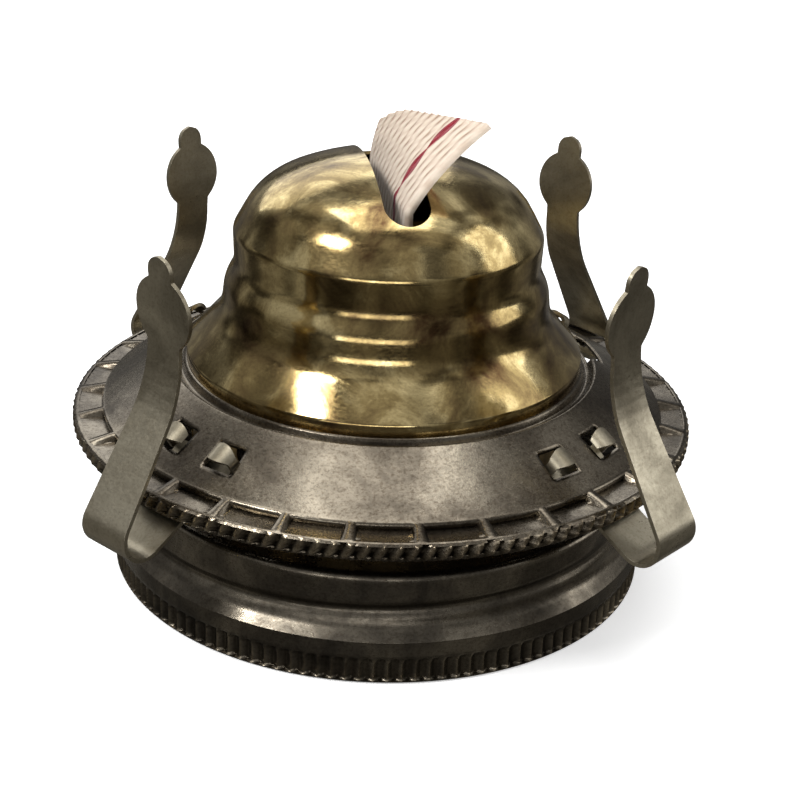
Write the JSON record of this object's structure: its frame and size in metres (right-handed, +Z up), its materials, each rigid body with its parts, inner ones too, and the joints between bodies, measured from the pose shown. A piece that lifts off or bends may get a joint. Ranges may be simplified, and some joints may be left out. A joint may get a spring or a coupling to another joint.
{
  "type": "oil lamp burner",
  "caption": "Flat-wick oil lamp burner on a screw cap for a preserving jar, with a slotted flame dome, a wick wheel and spring prongs that hold a glass chimney.",
  "frame": {"origin": "on the cap's axis, in the plane of its open rim", "axes": "+Z up along the cap's axis, +Y along the wick shaft towards the thumbwheel, +X across the wick's flat face"},
  "size_m": [0.0856, 0.0926, 0.0667],
  "materials": {
    "dome_brass": "antique, polished",
    "dark_brass": "antique, semi-gloss",
    "spring_brass": "antique, satin",
    "inner_brass": "plain rolled",
    "steel": "drawn",
    "gasket": "matt",
    "cotton": "woven"
  },
  "bodies": {
    "burner": {"jar_cap": "dark_brass", "cap_gasket": "gasket", "base_plate": "inner_brass", "air_basket": "inner_brass", "air_diffuser": "inner_brass", "shaft_bush": "inner_brass", "wick_tube": "inner_brass", "ratchet_cover": "inner_brass", "vent_tube": "inner_brass", "gallery": "dark_brass", "wick_tail": "cotton", "prong_foot_1": "spring_brass", "prong_foot_2": "spring_brass", "prong_foot_3": "spring_brass", "prong_foot_4": "spring_brass"},
    "wick_drive": {"wick_shaft": "steel", "spur_wheel_1": "inner_brass", "spur_wheel_2": "inner_brass", "spur_wheel_3": "inner_brass", "spur_wheel_4": "inner_brass", "thumbwheel_inner": "dark_brass", "thumbwheel_outer": "dark_brass"},
    "wick": {"wick_top": "cotton"},
    "flame_dome": {"dome": "dome_brass"},
    "prong_spring_1": {"prong_blade_1": "spring_brass"},
    "prong_spring_2": {"prong_blade_2": "spring_brass"},
    "prong_spring_3": {"prong_blade_3": "spring_brass"},
    "prong_spring_4": {"prong_blade_4": "spring_brass"}
  },
  "joints": [
    {"name": "thumbwheel_turn", "type": "hinge", "parent": "burner", "child": "wick_drive", "pos_m": [-0.0056, 0, 0.0178], "axis": [0, -1, 0], "range_deg": [-207, 53]},
    {"name": "wick_raise", "type": "slide", "parent": "burner", "child": "wick", "axis": [0, 0, 1], "range_m": [-0.0162, 0.0041], "deforming": ["wick_top", "wick_tail"]},
    {"name": "dome_lift", "type": "slide", "parent": "burner", "child": "flame_dome", "axis": [0, 0, 1], "range_m": [0, 0.04], "deforming": ["wick_top"]},
    {"name": "prong_flex_1", "type": "hinge", "parent": "burner", "child": "prong_spring_1", "pos_m": [0.03714, 0.02798, 0.0167], "axis": [-0.6018, 0.7986, 0], "range_deg": [0, 8], "stiffness_Nm_per_rad": 0.9},
    {"name": "prong_flex_2", "type": "hinge", "parent": "burner", "child": "prong_spring_2", "pos_m": [-0.02798, 0.03714, 0.0167], "axis": [-0.7986, -0.6018, 0], "range_deg": [0, 8], "stiffness_Nm_per_rad": 0.9},
    {"name": "prong_flex_3", "type": "hinge", "parent": "burner", "child": "prong_spring_3", "pos_m": [-0.03714, -0.02798, 0.0167], "axis": [0.6018, -0.7986, 0], "range_deg": [0, 8], "stiffness_Nm_per_rad": 0.9},
    {"name": "prong_flex_4", "type": "hinge", "parent": "burner", "child": "prong_spring_4", "pos_m": [0.02798, -0.03714, 0.0167], "axis": [0.7986, 0.6018, 0], "range_deg": [0, 8], "stiffness_Nm_per_rad": 0.9}
  ],
  "couplings": [
    {"joint": "thumbwheel_turn", "follows": "wick_raise", "rad_per_m": 222.22}
  ]
}
